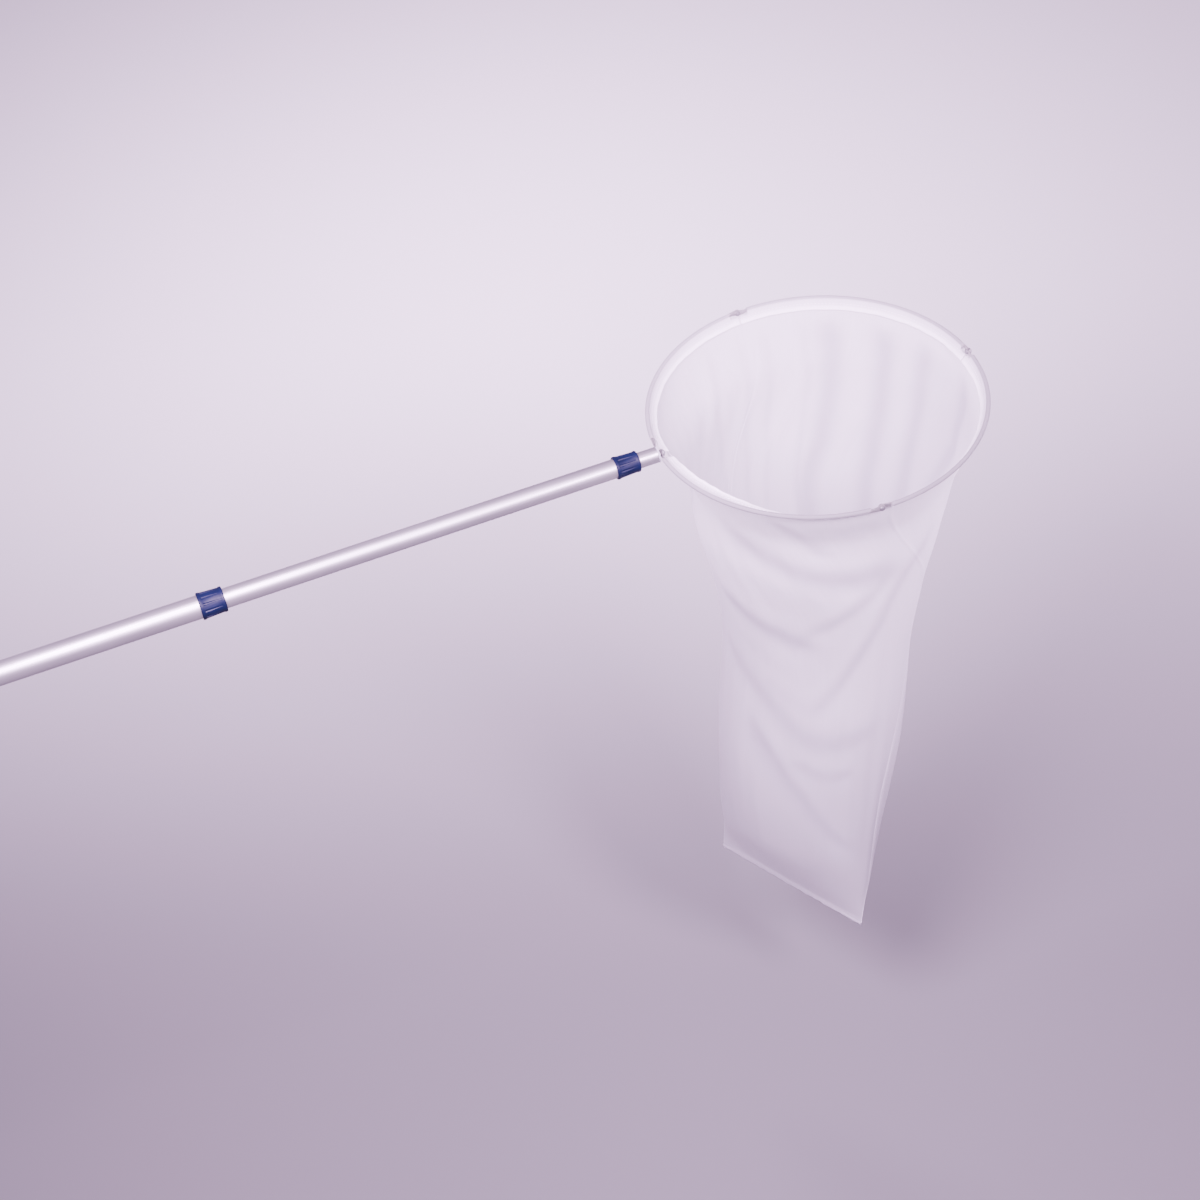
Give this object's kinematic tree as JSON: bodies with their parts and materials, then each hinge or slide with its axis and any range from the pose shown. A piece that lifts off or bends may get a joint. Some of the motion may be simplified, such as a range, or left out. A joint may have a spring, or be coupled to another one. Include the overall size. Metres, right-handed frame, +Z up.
{
  "type": "telescopic hand net",
  "caption": "Long-handled net: a deep soft mesh bag on a round folding hoop, at the end of a telescopic pole with twist locks.",
  "frame": {"origin": "on the pole's axis, at the middle of the hand grip", "axes": "+X along the pole towards the hoop, +Y across the hoop to its left side, +Z up out of the hoop's mouth, the bag hanging along -Z"},
  "size_m": [1.4715, 0.3862, 0.7756],
  "materials": {
    "tube_aluminium": "satin anodised drawn tube",
    "collar_plastic": "moulded blue, fluted",
    "cap_plastic": "moulded blue",
    "lock_plastic": "moulded grey",
    "grip_foam": "ribbed black",
    "hoop_steel": "zinc plated wire",
    "pin_steel": "zinc plated",
    "hem_cloth": "doubled white cloth tape",
    "bag_mesh": "fine soft white mesh, slightly see-through"
  },
  "bodies": {
    "grip": {"grip_tube": "tube_aluminium", "hand_grip": "grip_foam", "end_cap": "cap_plastic", "rear_lock_ferrule": "lock_plastic"},
    "rear_collar": {"rear_lock_collar": "collar_plastic"},
    "mid": {"mid_tube": "tube_aluminium", "mid_guide_bush": "lock_plastic", "front_lock_ferrule": "lock_plastic"},
    "front_collar": {"front_lock_collar": "collar_plastic"},
    "head": {"inner_tube": "tube_aluminium", "inner_guide_bush": "lock_plastic", "tip_insert": "lock_plastic", "hoop_bolt": "pin_steel", "hoop_rear_left": "hoop_steel", "hoop_rear_right": "hoop_steel", "rivet_left": "pin_steel", "rivet_right": "pin_steel", "hem_rear_left": "hem_cloth", "hem_rear_right": "hem_cloth", "bag_front_panel": "bag_mesh", "bag_rear_panel": "bag_mesh", "bag_left_seam": "bag_mesh", "bag_right_seam": "bag_mesh", "bag_bottom_seam": "bag_mesh"},
    "front_hoop": {"hoop_front_left": "hoop_steel", "hoop_front_right": "hoop_steel", "hem_front_left": "hem_cloth", "hem_front_right": "hem_cloth", "rivet_tip": "pin_steel"}
  },
  "joints": [
    {"name": "rear_collar_twist", "type": "hinge", "parent": "grip", "child": "rear_collar", "pos_m": [0.47435, 0, 0], "axis": [1, 0, 0], "range_deg": [0, 150]},
    {"name": "mid_slide", "type": "slide", "parent": "grip", "child": "mid", "axis": [1, 0, 0], "range_m": [-0.445, 0.042]},
    {"name": "front_collar_twist", "type": "hinge", "parent": "mid", "child": "front_collar", "pos_m": [0.94835, 0, 0], "axis": [1, 0, 0], "range_deg": [0, 150]},
    {"name": "inner_slide", "type": "slide", "parent": "mid", "child": "head", "axis": [1, 0, 0], "range_m": [-0.012, 0.44]},
    {"name": "hoop_fold", "type": "hinge", "parent": "head", "child": "front_hoop", "pos_m": [1.1657, 0, 0], "axis": [0, -1, 0], "range_deg": [0, 155]}
  ]
}
